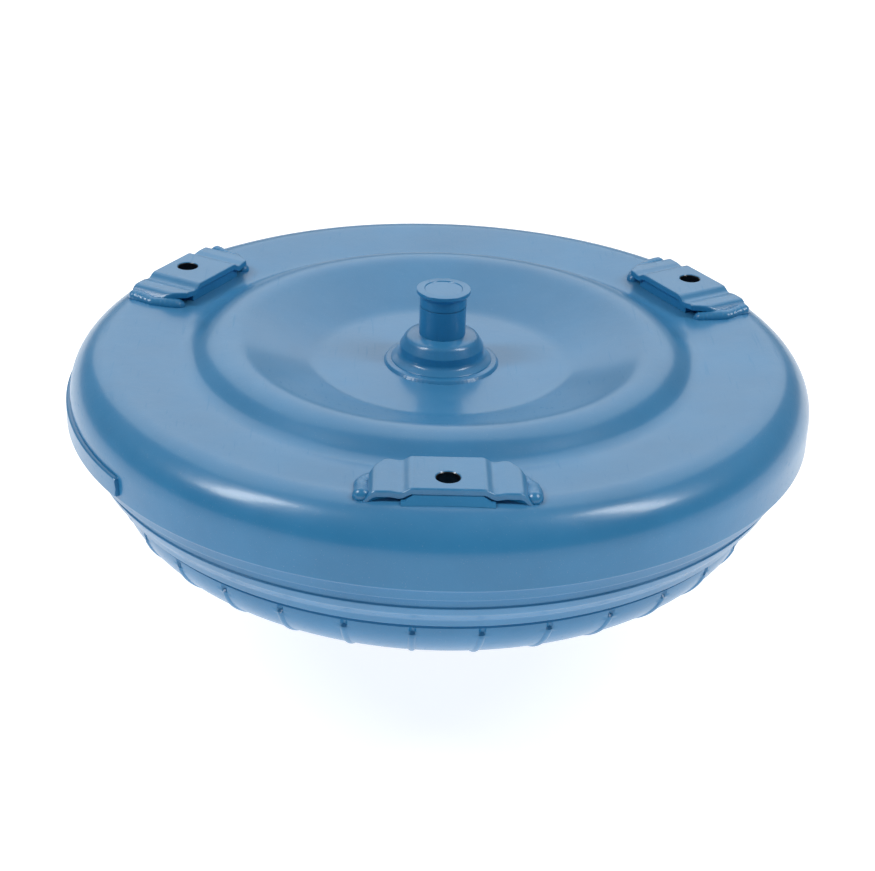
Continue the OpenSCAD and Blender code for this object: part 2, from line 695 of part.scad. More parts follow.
module clutch_springs() {
    fold = 1.25;
    strip = 0.9;
    reach = [1.2, 4.6];
    zigzag = [for (i = [0:3]) [race_r + reach[i % 2], roller_r + 0.25 + i * fold]];
    back = [for (i = [3:-1:0]) zigzag[i] + [strip, 0]];
    color(STEEL) from_seam() around(roller_count)
        translate([0, 0, cam_bottom_h + 1.5]) linear_extrude(cam_top_h - cam_bottom_h - 3)
            polygon(concat(zigzag, back));
}

module stator_cap() {
    color(STEEL) from_seam() ring(race_r + 0.8, stator_ri - 3.05, cam_top_h + fit_gap, cap_top_h);
}

module turbine_bearing_lower_race() {
    color(STEEL) from_seam() bearing_race(cap_top_h + fit_gap);
}

module hub_bearing_upper_race() {
    color(STEEL) from_seam() bearing_race(stator_bottom_h - bearing_race_t - fit_gap);
}

module hub_bearing_lower_race() {
    color(STEEL) from_seam() bearing_race(hub_flange_h + fit_gap);
}

module clutch_inner_race() {
    tip_r = race_r - 8.5;
    color(DARK_STEEL) from_seam() difference() {
        ring(tip_r - 1, race_r, stator_bottom_h + 0.2, cap_top_h - 0.2);
        translate([0, 0, stator_bottom_h - 1]) linear_extrude(20) polygon(spline_points(29, tip_r, tip_r + 1.1));
    }
}

module bearing_cage(mid_h) {
    difference() {
        ring(bearing_ri + 0.1, bearing_ro - 0.3, mid_h - 0.55, mid_h + 0.55);
        around(needle_count) translate([(bearing_ri + bearing_ro) / 2 - 0.1, 0, mid_h])
            cube([3.6, 2 * needle_r + 0.1, 2], center = true);
    }
}

module bearing_needles(mid_h) {
    around(needle_count) translate([(bearing_ri + bearing_ro) / 2 - 1.75, 0, mid_h])
        rotate([0, 90, 0]) cylinder(r = needle_r, h = 3.3, $fn = 24);
}

turbine_bearing_h = cap_top_h + bearing_t / 2;
hub_bearing_h = hub_flange_h + bearing_t / 2;

module turbine_bearing_cage() {
    color(BRASS) from_seam() bearing_cage(turbine_bearing_h);
}

module turbine_bearing_needles() {
    color(STEEL) from_seam() bearing_needles(turbine_bearing_h);
}

module hub_bearing_cage() {
    color(BRASS) from_seam() bearing_cage(hub_bearing_h);
}

module hub_bearing_needles() {
    color(STEEL) from_seam() bearing_needles(hub_bearing_h);
}

front_cover();
crankshaft_pilot();
pilot_weld();
lug_straps();
lug_nuts();
lug_welds();
seam_weld();
balance_weight();
impeller_shell();
impeller_vanes();
impeller_core();
pump_hub();
hub_flange();
hub_weld();
hub_bearing_lower_race();
turbine_shell();
turbine_vanes();
turbine_core();
turbine_hub();
hub_rivets();
damper_plate();
piston_seal();
cover_thrust_washer();
turbine_bearing_upper_race();
spring_retainer();
damper_springs();
lockup_piston();
friction_lining();
stator_wheel();
clutch_cam();
clutch_rollers();
clutch_springs();
stator_cap();
turbine_bearing_lower_race();
hub_bearing_upper_race();
clutch_inner_race();
turbine_bearing_cage();
turbine_bearing_needles();
hub_bearing_cage();
hub_bearing_needles();
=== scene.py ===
import json
import math

import bmesh
import bpy
import numpy as np
from mathutils import Matrix, Vector


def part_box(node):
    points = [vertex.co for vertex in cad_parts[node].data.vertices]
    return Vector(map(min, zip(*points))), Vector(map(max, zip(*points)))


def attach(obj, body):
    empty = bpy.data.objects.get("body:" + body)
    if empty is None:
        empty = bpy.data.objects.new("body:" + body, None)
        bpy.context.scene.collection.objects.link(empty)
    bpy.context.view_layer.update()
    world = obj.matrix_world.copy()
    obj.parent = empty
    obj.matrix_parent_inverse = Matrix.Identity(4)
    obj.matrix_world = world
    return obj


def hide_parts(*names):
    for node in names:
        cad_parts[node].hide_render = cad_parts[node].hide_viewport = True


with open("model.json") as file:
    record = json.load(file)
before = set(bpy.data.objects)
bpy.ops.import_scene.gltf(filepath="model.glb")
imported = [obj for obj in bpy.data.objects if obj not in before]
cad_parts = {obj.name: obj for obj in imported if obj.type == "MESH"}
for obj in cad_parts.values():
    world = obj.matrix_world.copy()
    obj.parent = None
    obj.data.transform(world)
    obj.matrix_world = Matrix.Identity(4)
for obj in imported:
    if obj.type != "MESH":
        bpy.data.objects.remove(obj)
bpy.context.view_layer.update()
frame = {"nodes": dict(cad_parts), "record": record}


# Front cover
# The engine-side lid: a flat centre disc, a raised ring, a land and a round shoulder. It is
# deep-drawn from thick steel sheet, so its faces are faintly wavy, and sprayed in blue paint.

mm = 0.001
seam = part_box("front_cover")[0].z
body_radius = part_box("front_cover")[1].y
sheet = 4 * mm
disc_radius = 44.1 * mm
disc_height = seam + 16.9 * mm
ring_radius = body_radius - 52.7 * mm
ring_height = disc_height + 12.2 * mm
foot_radius = body_radius - 40.2 * mm
foot_height = seam + 21 * mm
shoulder_height = seam + 25.5 * mm
clutch_face_height = foot_height - 2.8 * mm


def rounded(rows, degrees=5):
    """Rows of (x, y, radius) as a line of points. A corner with a radius becomes an arc that touches
    both its sides: its centre lies on the corner's bisector, radius / sin(half the angle) away."""
    rows = np.array(rows, float)
    points = [rows[0, :2]]
    for before, at, after in zip(rows[:-2], rows[1:-1], rows[2:]):
        p, q, s = before[:2], at[:2], after[:2]
        if at[2] <= 0:
            points.append(q)
            continue
        to_p, to_s = (p - q) / np.hypot(*(p - q)), (s - q) / np.hypot(*(s - q))
        half = math.acos(np.clip(to_p @ to_s, -1, 1)) / 2
        radius = min(at[2], 0.62 * min(np.hypot(*(p - q)), np.hypot(*(s - q))) * math.tan(half))
        centre = q + (to_p + to_s) / np.hypot(*(to_p + to_s)) * radius / math.sin(half)
        first, last = q + to_p * radius / math.tan(half), q + to_s * radius / math.tan(half)
        start = math.atan2(*(first - centre)[::-1])
        turn = (math.atan2(*(last - centre)[::-1]) - start + math.pi) % (2 * math.pi) - math.pi
        angles = start + turn * np.linspace(0, 1, max(3, int(abs(math.degrees(turn)) / degrees) + 2))
        points.extend(centre + radius * np.stack([np.cos(angles), np.sin(angles)], axis=1))
    points.append(rows[-1, :2])
    return np.array(points)


def dense(line, step):
    """The same line with points added so that no two neighbours are further apart than step."""
    lengths = np.hypot(*np.diff(line, axis=0).T)
    counts = np.maximum(np.ceil(lengths / step).astype(int), 1)
    starts = np.concatenate([[0], np.cumsum(counts)])
    return np.stack([np.interp(np.arange(starts[-1] + 1), starts, line[:, k]) for k in (0, 1)], axis=1)


def even_turn(columns):
    """Angles that divide the circle into equal parts."""
    return np.linspace(0, 2 * math.pi, columns, endpoint=False)


def turned(line, angle):
    """A grid of points from an outline of (radius, height): each column is the outline turned
    about Z by one of the angles."""
    radius, height = line[:, :1], line[:, 1:]
    return np.stack([radius * np.cos(angle), radius * np.sin(angle), height + 0 * angle], axis=-1)


def surface(name, grids, across=False, sharp=34):
    """A mesh from grids of points (rows, columns, 3). Each grid closes round its columns and, if
    across is set, round its rows. Equal points are merged, so poles and seams are closed. Edges that
    turn by more than sharp degrees stay crisp."""
    points, corners, count = [], [], 0
    for grid in grids:
        rows, columns = grid.shape[:2]
        place = count + np.arange(rows * columns).reshape(rows, columns)
        place = np.concatenate([place, place[:, :1]], axis=1)
        if across:
            place = np.concatenate([place, place[:1]], axis=0)
        quads = [place[:-1, :-1], place[:-1, 1:], place[1:, 1:], place[1:, :-1]]
        corners.append(np.stack(quads, axis=-1).reshape(-1, 4))
        points.append(grid.reshape(-1, 3))
        count += rows * columns
    mesh = bpy.data.meshes.new(name)
    mesh.from_pydata(np.concatenate(points), [], np.concatenate(corners))
    solid = bmesh.new()
    solid.from_mesh(mesh)
    bmesh.ops.remove_doubles(solid, verts=solid.verts, dist=0.002 * mm)
    bmesh.ops.recalc_face_normals(solid, faces=solid.faces)
    solid.to_mesh(mesh)
    solid.free()
    mesh.shade_smooth()
    mesh.set_sharp_from_angle(angle=math.radians(sharp))
    piece = bpy.data.objects.new(name, mesh)
    bpy.context.scene.collection.objects.link(piece)
    return piece


class Wire:
    """An output of a shader node. Sums, differences, products, quotients and powers of wires and
    numbers add Math nodes; any other node comes from add()."""

    def __init__(self, tree, socket=None):
        self.tree = tree
        self.socket = socket

    def add(self, kind, settings, values, output=0):
        """A new node: its settings are set first, then each socket gets its value or its wire."""
        node = self.tree.nodes.new(kind)
        for name, setting in settings.items():
            if name == "stops":
                for element, (place, tone) in zip(node.color_ramp.elements, setting):
                    element.position, element.color = place, (tone, tone, tone, 1)
            else:
                setattr(node, name, setting)
        for name, value in values.items():
            if isinstance(value, Wire):
                self.tree.links.new(value.socket, node.inputs[name])
            else:
                node.inputs[name].default_value = value
        return Wire(self.tree, node.outputs[output])

    def math(self, operation, first, second=0.0):
        return self.add("ShaderNodeMath", {"operation": operation}, {0: first, 1: second})

    def __add__(self, other):
        return self.math("ADD", self, other)

    def __sub__(self, other):
        return self.math("SUBTRACT", self, other)

    def __rsub__(self, other):
        return self.math("SUBTRACT", other, self)

    def __mul__(self, other):
        return self.math("MULTIPLY", self, other)

    def __truediv__(self, other):
        return self.math("DIVIDE", self, other)

    def __rtruediv__(self, other):
        return self.math("DIVIDE", other, self)

    def __pow__(self, other):
        return self.math("POWER", self, other)

    __radd__ = __add__
    __rmul__ = __mul__

    def noise(self, scale, detail=3.0, roughness=0.5):
        """Cloudy noise from 0 to 1; scale is in lumps per metre."""
        values = {"Vector": self, "Scale": scale, "Detail": detail, "Roughness": roughness}
        return self.add("ShaderNodeTexNoise", {}, values)

    def ramp(self, low, high):
        """0 where this wire is at or under low, and 1 where it is at or over high."""
        return self.add("ShaderNodeValToRGB", {"stops": [(low, 0), (high, 1)]}, {"Fac": self})

    def scaled(self, x, y, z):
        return self.add("ShaderNodeVectorMath", {"operation": "MULTIPLY"}, {0: self, 1: (x, y, z)})

    def tint(self, first, second):
        """The first colour where this wire is 0 and the second where it is 1."""
        return self.add("ShaderNodeMix", {"data_type": "RGBA"}, {0: self, 6: first, 7: second}, 2)


def new_finish(name, **values):
    """A material, its shader node with these constants set, and the object's own coordinates."""
    material = bpy.data.materials.new(name)
    material.use_nodes = True
    shader = material.node_tree.nodes["Principled BSDF"]
    for socket, value in values.items():
        shader.inputs[socket.replace("_", " ")].default_value = value
    place = Wire(material.node_tree).add("ShaderNodeTexCoord", {}, {}, "Object")
    return material, shader, place


def feed(shader, colour, roughness, height, depth):
    """Links a finish's colour, roughness and relief; depth is the relief's height in metres."""
    bump = height.add("ShaderNodeBump", {}, {"Strength": 1.0, "Distance": depth, "Height": height})
    links = height.tree.links
    links.new(colour.socket, shader.inputs["Base Color"])
    links.new(roughness.socket, shader.inputs["Roughness"])
    links.new(bump.socket, shader.inputs["Normal"])


def blue_paint(name, dusty):
    """Semi-gloss blue enamel over pressed steel: it pools into slightly deeper and paler areas,
    has a fine orange-peel skin with a few scuffs, and dust settles on faces that look up."""
    material, shader, place = new_finish(name, Coat_Weight=0.35, Coat_Roughness=0.16, IOR=1.5)
    pool = place.noise(26, 4, 0.6)
    peel = place.noise(1500, 2)
    dents = place.noise(95, 3)
    scuffs = place.scaled(1, 0.06, 1).noise(900, 3).ramp(0.62, 0.72)
    specks = place.noise(2600, 1).ramp(0.70, 0.78)
    normal = place.add("ShaderNodeNewGeometry", {}, {}, "Normal")
    up = place.add("ShaderNodeSeparateXYZ", {}, {0: normal}, "Z").ramp(0.2, 0.95)
    paint = pool.ramp(0.3, 0.7).tint((0.012, 0.182, 0.400, 1), (0.020, 0.218, 0.466, 1))
    film = (up * dusty * (0.35 + 0.65 * place.noise(60, 4))).tint(paint, (0.30, 0.42, 0.52, 1))
    colour = (specks * 0.18).tint(film, (0.45, 0.55, 0.62, 1))
    roughness = 0.27 + 0.10 * pool + 0.12 * scuffs + 0.10 * specks
    feed(shader, colour, roughness, 0.25 * peel + 1.4 * dents + 0.1 * scuffs, 0.10 * mm)
    return material


def fit(piece, body, material, node):
    """Gives a piece its material and makes it stand for a CAD node on its body."""
    piece.data.materials.clear()
    piece.data.materials.append(material)
    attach(piece, body)
    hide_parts(node)


cover_outer = dense(rounded([
    (0, disc_height, 0), (disc_radius, disc_height, 14 * mm), (ring_radius, ring_height, 16 * mm),
    (foot_radius, foot_height, 10 * mm), (body_radius, shoulder_height, 16.3 * mm),
    (body_radius, seam, 1.0 * mm), (body_radius - sheet, seam, 0)]), 3 * mm)
cover_inner = dense(rounded([
    (body_radius - sheet, seam, 0), (body_radius - sheet, clutch_face_height, 12 * mm),
    (foot_radius - 1.8 * mm, clutch_face_height, 4 * mm),
    (ring_radius, ring_height - sheet - 0.5 * mm, 12 * mm),
    (disc_radius + 1.2 * mm, disc_height - sheet, 2 * mm), (0, disc_height - sheet, 0)]), 8 * mm)


def drawn(grid, depth):
    """Moves the points of a pressed face down by a slow wave of this depth: the product of a sine
    of x and a sine of y, with a second, shorter pair added."""
    x, y = grid[..., 0], grid[..., 1]
    slow = np.sin(x / (17 * mm) + 0.6) * np.sin(y / (21 * mm) + 1.9)
    quick = np.sin(x / (8 * mm) + y / (13 * mm)) * np.sin(y / (9 * mm) + 0.4)
    grid[..., 2] -= depth * (0.5 + 0.36 * slow + 0.14 * quick)
    return grid


cover_grid = turned(np.concatenate([cover_outer, cover_inner[1:]]), even_turn(288))
cover_grid[1:len(cover_outer) - 12] = drawn(cover_grid[1:len(cover_outer) - 12], 0.12 * mm)
front_cover = surface("front_cover_skin", [cover_grid])
pressed_paint = blue_paint("blue_paint_pressed", 0.16)
fit(front_cover, "housing", pressed_paint, "front_cover")


# Crankshaft pilot
# The turned steel nose that locates the converter in the end of the crankshaft: a flared boss,
# a straight stem and a thin rim at its top. It is painted over with the rest.

pilot_base = disc_height + 10.7 * mm
pilot_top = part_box("crankshaft_pilot")[1].z
boss_radius = 17.6 * mm
stem_radius = 8.1 * mm
rim_radius = 9.35 * mm
rim_height = pilot_top - 1.4 * mm
groove_height = pilot_base + 10.3 * mm

pilot_line = rounded([
    (0, disc_height, 0), (boss_radius, disc_height, 0), (boss_radius, disc_height + 1.4 * mm, 0.6 * mm),
    (boss_radius - 2.9 * mm, disc_height + 3.2 * mm, 2 * mm),
    (boss_radius - 3 * mm, disc_height + 6.4 * mm, 1.2 * mm),
    (stem_radius + 4.4 * mm, pilot_base - 0.6 * mm, 3 * mm), (stem_radius, pilot_base, 0),
    (stem_radius, groove_height, 0), (stem_radius - 0.35 * mm, groove_height, 0),
    (stem_radius - 0.35 * mm, groove_height + 0.5 * mm, 0), (stem_radius, groove_height + 0.5 * mm, 0),
    (stem_radius, rim_height - 1.3 * mm, 0.8 * mm), (rim_radius, rim_height, 0),
    (rim_radius, pilot_top - 0.2 * mm, 0.2 * mm), (rim_radius - 2.7 * mm, pilot_top, 0.3 * mm),
    (rim_radius - 3.0 * mm, pilot_top - 0.3 * mm, 0), (0, pilot_top - 0.3 * mm, 0)])
pilot_grid = turned(dense(pilot_line, 2 * mm), even_turn(160))
crankshaft_pilot = surface("crankshaft_pilot_turned", [pilot_grid])
turned_paint = blue_paint("blue_paint_turned", 0.10)
fit(crankshaft_pilot, "housing", turned_paint, "crankshaft_pilot")


# Pilot weld
# The thin ring of weld metal that holds the pilot's boss on the cover's centre disc. It was laid
# by machine, so its ripples are even, and it is painted over.


def beaded(line, columns, ripples, depth):
    """A turned bead whose outline swells and shrinks about its middle by a sine of the angle, with
    a slower sine on top, as overlapping weld puddles do."""
    angle = even_turn(columns)
    grid = turned(line, angle)
    middle = grid.mean(axis=0, keepdims=True)
    swell = depth * (np.sin(ripples * angle) + 0.6 * np.sin(ripples // 7 * angle + 1))
    return middle + (grid - middle) * (1 + swell)[None, :, None]


pilot_bead = rounded([
    (boss_radius - 0.2 * mm, disc_height - 0.1 * mm, 0),
    (boss_radius + 2.5 * mm, disc_height - 0.1 * mm, 0),
    (boss_radius + 1.7 * mm, disc_height + 1.0 * mm, 0.8 * mm),
    (boss_radius - 0.2 * mm, disc_height + 1.2 * mm, 0)])
pilot_weld = surface("pilot_weld_bead", [beaded(pilot_bead, 480, 84, 0.05)], across=True, sharp=50)
fit(pilot_weld, "housing", turned_paint, "pilot_weld")


# Lug straps
# Three bent steel straps, each with a raised pad and a tapped hole for a flexplate bolt. They are
# stamped, so their upper edges are rounded over, and welded to the land at both ends.

lug_radius = body_radius - 20.3 * mm
pad_height = seam + 28.2 * mm
pad_half = 11.2 * mm
strap_half = pad_half + 11.3 * mm
strap_end = strap_half + 4 * mm
strap_in = -13.5 * mm
strap_out = 7.6 * mm
strap_thick = 2.2 * mm
hole_radius = 3.6 * mm
lug_angles = np.radians([-90, 30, 150])

strap_top = rounded([
    (0, pad_height, 0), (pad_half, pad_height, 2.5 * mm),
    (pad_half + 2.8 * mm, pad_height - 1.75 * mm, 2.5 * mm),
    (pad_half + 6 * mm, pad_height - 1.1 * mm, 3 * mm), (strap_half, pad_height - 1.1 * mm, 3 * mm),
    (strap_end + 0.8 * mm, pad_height - 7.4 * mm, 0)], 9)


def outlined(rows, count):
    """Evenly spaced points round a closed outline, with the outward direction at each."""
    line = rounded(rows + rows[:1], 10)
    travelled = np.concatenate([[0], np.cumsum(np.hypot(*np.diff(line, axis=0).T))])
    even = np.linspace(0, travelled[-1], count, endpoint=False)
    points = np.stack([np.interp(even, travelled, line[:, k]) for k in (0, 1)], axis=1)
    along = np.roll(points, -1, axis=0) - np.roll(points, 1, axis=0)
    outward = np.stack([along[:, 1], -along[:, 0]], axis=1) / np.hypot(*along.T)[:, None]
    return points, outward


def strap_grid():
    """One strap with its hole, as a closed ring of rows about the hole: out over the top face,
    round the edge, back under, and up the hole's wall. Heights follow the bent profile."""
    corners = [(0, strap_out, 0), (-strap_end, strap_out, 0.8 * mm),
               (-strap_end, strap_in + 10.4 * mm, 1.5 * mm),
               (-strap_half + 3.5 * mm, strap_in, 1.5 * mm), (strap_half - 3.5 * mm, strap_in, 1.5 * mm),
               (strap_end, strap_in + 10.4 * mm, 1.5 * mm), (strap_end, strap_out, 0.8 * mm)]
    rim, outward = outlined(corners, 240)
    edge, under_edge = 0.55 * mm, 0.2 * mm
    inner = rim - outward * edge
    direction = rim / np.hypot(*rim.T)[:, None]
    top = lambda plan: np.interp(np.abs(plan[..., 0]), strap_top[:, 0], strap_top[:, 1])
    mouth = direction * (hole_radius + 0.45 * mm)
    share = np.linspace(0, 1, 44)[:, None, None]
    rows = [(mouth + share * (inner - mouth), 0)]
    for angle in np.radians([60, 30, 0]):
        rows.append(((inner + outward * edge * math.cos(angle))[None], -edge * (1 - math.sin(angle))))
    rows.append(((rim + 0 * outward)[None], -strap_thick + under_edge))
    rows.append(((rim - outward * under_edge)[None], -strap_thick))
    rows.append(((direction * hole_radius)[None], -strap_thick))
    rows.append(((direction * hole_radius)[None], -0.4 * mm))
    return np.concatenate([np.concatenate([p, (top(p) + drop)[..., None]], axis=-1) for p, drop in rows])


def at_lugs(grid):
    """Copies a grid drawn about +Y, the outward direction, to each lug's place."""
    copies = []
    for angle in lug_angles:
        c, s = math.cos(angle - math.pi / 2), math.sin(angle - math.pi / 2)
        x, y, z = grid[..., 0], grid[..., 1] + lug_radius, grid[..., 2]
        copies.append(np.stack([c * x - s * y, s * x + c * y, z], axis=-1))
    return copies


def shade_holes(material):
    """Darkens a painted finish to near black within the three threaded holes: painted shade for their
    depth.
    """
    tree = material.node_tree
    colour = tree.nodes["Principled BSDF"].inputs["Base Color"]
    painted = Wire(tree, colour.links[0].from_socket)
    flat = Wire(tree).add("ShaderNodeTexCoord", {}, {}, "Object").scaled(1, 1, 0)
    inside = 0.0
    for angle in lug_angles:
        centre = (lug_radius * math.cos(angle), lug_radius * math.sin(angle), 0)
        away = flat.add("ShaderNodeVectorMath", {"operation": "DISTANCE"}, {0: flat, 1: centre}, "Value")
        inside = away.math("LESS_THAN", away, hole_radius + 0.2 * mm) + inside
    # Painted shade: near black wherever a point lies within a hole's radius.
    tree.links.new(inside.tint(painted, (0.004, 0.006, 0.010, 1)).socket, colour)
    return material


lug_straps = surface("lug_straps_stamped", at_lugs(strap_grid()), across=True, sharp=30)
# The straps' paint, with painted shade within their holes.
fit(lug_straps, "housing", shade_holes(blue_paint("blue_paint_straps", 0.16)), "lug_straps")


# Lug nuts
# A block of steel under each strap carries the thread. It is a plain cut block, so the CAD shape
# is kept and painted, with painted shade within its hole.

frame["nodes"]["lug_nuts"].data.materials.clear()
# The nuts' paint, with painted shade within their holes.
frame["nodes"]["lug_nuts"].data.materials.append(shade_holes(blue_paint("blue_paint_nuts", 0.10)))


# Lug welds
# Hand-laid fillets that hold each strap's two ends on the cover, wrapped round the cut corner.
# They are lumpy, end in round puddles and are painted over.

bead_radius = 2.6 * mm


def cover_height(radius):
    """Height of the cover's outer face at this distance from the axis."""
    return np.interp(radius, cover_outer[:-8, 0], cover_outer[:-8, 1])


def weld_grid(side):
    """A round bead carried along the strap's end and its cut corner. Its radius swells in ripples
    and falls as a quarter circle to nothing at both ends."""
    route = dense(rounded([
        (strap_end - 0.7 * mm, strap_out - 0.3 * mm, 0),
        (strap_end - 0.7 * mm, strap_in + 10.6 * mm, 3 * mm),
        (strap_half - 3.2 * mm, strap_in + 1.0 * mm, 0)], 8), 0.35 * mm)
    travelled = np.concatenate([[0], np.cumsum(np.hypot(*np.diff(route, axis=0).T))])
    along = np.gradient(route, axis=0)
    outward = np.stack([-along[:, 1], along[:, 0]], axis=1) / np.hypot(*along.T)[:, None]
    ends = np.minimum(travelled, travelled[-1] - travelled) / bead_radius
    round_end = np.sqrt(1 - (1 - np.clip(ends, 0, 1)) ** 2)
    lumps = 1 + 0.02 * np.sin(travelled / (0.26 * mm)) + 0.08 * np.sin(travelled / (1.9 * mm) + side)
    radius = (bead_radius * round_end * lumps)[:, None]
    level = cover_height(lug_radius + route[:, 1])[:, None] + 0.35 * mm
    turn = np.linspace(0, 2 * math.pi, 20, endpoint=False)
    spread = radius * np.cos(turn)
    x = route[:, :1] + outward[:, :1] * spread
    y = route[:, 1:] + outward[:, 1:] * spread
    return np.stack([side * x, y, level + 0.9 * radius * np.sin(turn)], axis=-1)


weld_grids = [copy for side in (-1, 1) for copy in at_lugs(weld_grid(side))]
lug_welds = surface("lug_weld_beads", weld_grids, sharp=60)
fit(lug_welds, "housing", turned_paint, "lug_welds")


# Seam weld
# The bead that closes the cover on the impeller shell all the way round. A machine lays it, so it
# is even, with fine ripples, and it is painted with the body.

wall_inside = body_radius - sheet
bead_bottom = seam - 5 * mm

seam_bead = dense(rounded([
    (wall_inside + 0.3 * mm, bead_bottom, 0), (wall_inside + 0.5 * mm, bead_bottom + 0.4 * mm, 0.3 * mm),
    (wall_inside + 0.8 * mm, seam - 3.4 * mm, 2 * mm), (wall_inside + 1.5 * mm, seam - 1 * mm, 1.5 * mm),
    (body_radius - 1.4 * mm, seam, 0), (wall_inside - 0.1 * mm, seam, 0),
    (wall_inside - 0.1 * mm, bead_bottom, 0)]), 1.2 * mm)
seam_weld = surface("seam_weld_bead", [beaded(seam_bead, 900, 260, 0.012)], across=True, sharp=50)
fit(seam_weld, "housing", turned_paint, "seam_weld")


# Balance weight
# A thin curved strip welded to the cover's side wall once the converter has been balanced. It is
# cut from steel strip, with rounded edges.

weight_start, weight_end = np.radians([177.2, 216.8])
weight_low, weight_high = seam + 1.5 * mm, seam + 8.6 * mm
weight_thick = 1.4 * mm


def strip_grid():
    """A rounded strip section carried round the wall. Near each end the section's height falls as
    a circle's does, which rounds the strip's corners."""
    angle = np.linspace(weight_start, weight_end, 160)
    reach = np.minimum(angle - weight_start, weight_end - angle) * body_radius / (2 * mm)
    height = 0.6 + 0.4 * np.sqrt(1 - (1 - np.clip(reach, 0, 1)) ** 2)
    height[[0, -1]] = 0.0
    section = rounded([
        (-0.3 * mm, weight_low, 0), (weight_thick - 0.5 * mm, weight_low, 0),
        (weight_thick, weight_low + 0.4 * mm, 0.4 * mm),
        (weight_thick, weight_high - 0.4 * mm, 0.4 * mm), (weight_thick - 0.5 * mm, weight_high, 0),
        (-0.3 * mm, weight_high, 0)])
    middle = (weight_low + weight_high) / 2
    radius = body_radius + section[:, 0] - 0.02 * mm
    level = middle + (section[:, 1] - middle) * height[:, None]
    return np.stack([radius * np.cos(angle)[:, None], radius * np.sin(angle)[:, None], level], axis=-1)


balance_weight = surface("balance_weight_strip", [strip_grid()], sharp=40)
fit(balance_weight, "housing", turned_paint, "balance_weight")


# Impeller shell
# The gearbox-side half of the housing: a stepped rim and a deep bowl. It is pressed from sheet, and
# a slanted rib stands out where each of the pump's vanes is keyed, with a punched notch above it.

split = seam - 20 * mm
bowl_out = body_radius - 14.5 * mm
bowl_in = 35 * mm
bowl_middle = (bowl_out + bowl_in) / 2
bowl_half = (bowl_out - bowl_in) / 2
bowl_depth = 24.2 * mm
shell_sheet = 3 * mm
hub_flange = seam - 34 * mm
flange_radius = 34 * mm
mark_count = 33
mark_start = math.radians(3.5)
mark_height = 0.6 * mm
mark_half = 0.056
notch_depth = 1.6
mark_slant = math.radians(1.6)
bowl_rows = 76


def elliptic(half_width, depth, first, last, count):
    """Points of an ellipse's arc about the middle of the bowl, between two angles in degrees."""
    angle = np.radians(np.linspace(first, last, count))
    return np.stack([bowl_middle + half_width * np.cos(angle), split + depth * np.sin(angle)], axis=1)


shell_rim = rounded([
    (wall_inside - 0.1 * mm, seam + 6 * mm, 0), (wall_inside - 0.1 * mm, bead_bottom, 0),
    (wall_inside - 2.4 * mm, bead_bottom - 0.5 * mm, 0.6 * mm),
    (wall_inside - 3.1 * mm, bead_bottom - 4.2 * mm, 0.6 * mm),
    (wall_inside - 2.6 * mm, bead_bottom - 4.8 * mm, 0.4 * mm),
    (wall_inside - 4 * mm, bead_bottom - 7.8 * mm, 3 * mm),
    (wall_inside - 7.6 * mm, bead_bottom - 11.6 * mm, 4 * mm),
    (wall_inside - 8.7 * mm, bead_bottom - 14.6 * mm, 0.5 * mm),
    (bowl_out - 0.7 * mm, split - 0.7 * mm, 0)])
shell_line = np.concatenate([
    dense(shell_rim, 1 * mm), elliptic(bowl_half, bowl_depth, -4, -138, bowl_rows),
    [(flange_radius + 8 * mm, hub_flange - 3 * mm), (flange_radius, hub_flange - 3 * mm),
     (flange_radius, hub_flange), (flange_radius + 10 * mm, hub_flange)],
    elliptic(bowl_half - shell_sheet, bowl_depth - shell_sheet, -140, -2, 24),
    [(bowl_out - shell_sheet, split + 2 * mm), (wall_inside - 10.4 * mm, bead_bottom - 8 * mm),
     (wall_inside - 6.6 * mm, bead_bottom - 5 * mm), (wall_inside - 6.4 * mm, bead_bottom + 1 * mm),
     (wall_inside - 3.1 * mm, bead_bottom + 3 * mm), (wall_inside - 3.1 * mm, seam + 6 * mm)]])


def marked(line, first):
    """The shell as a grid with its vane marks. The columns crowd together at each mark, within
    mark_half of the spacing between marks. Down the bowl's rows, from first on, the columns slant
    and a rounded rib rises along the outward direction between two fading ends. Above the rib the
    same columns dip into a notch, whose depth is given in rib heights."""
    across_rib = np.linspace(-mark_half, mark_half, 9)
    parts = np.concatenate([across_rib, np.linspace(0.16, 0.84, 6)])
    angle = ((np.arange(mark_count)[:, None] + parts) * 2 * math.pi / mark_count).ravel() + mark_start
    down = np.interp(np.arange(len(line)), [first, first + bowl_rows, len(line)], [0, 1, 0])
    slant = mark_slant * down[:, None]
    bulge = np.where(np.abs(parts) < mark_half, np.cos(parts * math.pi / (2 * mark_half)), 0)
    rib = np.tile(bulge ** 0.7, mark_count)
    rows = np.arange(bowl_rows)
    rise = np.clip((rows - 3) / 2, 0, 1) * np.clip((34 - rows) / 8, 0, 1)
    notch = np.clip(rows, 0, 1) * np.clip(4 - rows, 0, 1)
    lift = np.zeros(len(line))
    lift[first:first + bowl_rows] = mark_height * (rise - notch_depth * notch)
    outward = line - [bowl_middle, split]
    outward = outward / np.hypot(*outward.T)[:, None]
    moved = line[:, None, :] + outward[:, None, :] * (lift[:, None] * rib)[..., None]
    radius, turn = moved[..., 0], angle - slant
    return np.stack([radius * np.cos(turn), radius * np.sin(turn), moved[..., 1]], axis=-1)


shell_grid = marked(shell_line, len(dense(shell_rim, 1 * mm)))
impeller_shell = surface("impeller_shell_skin", [shell_grid], across=True, sharp=38)
fit(impeller_shell, "housing", pressed_paint, "impeller_shell")


# Hub weld
# The fillet that joins the pump hub's flange to the impeller shell. It is laid by machine and
# painted over.

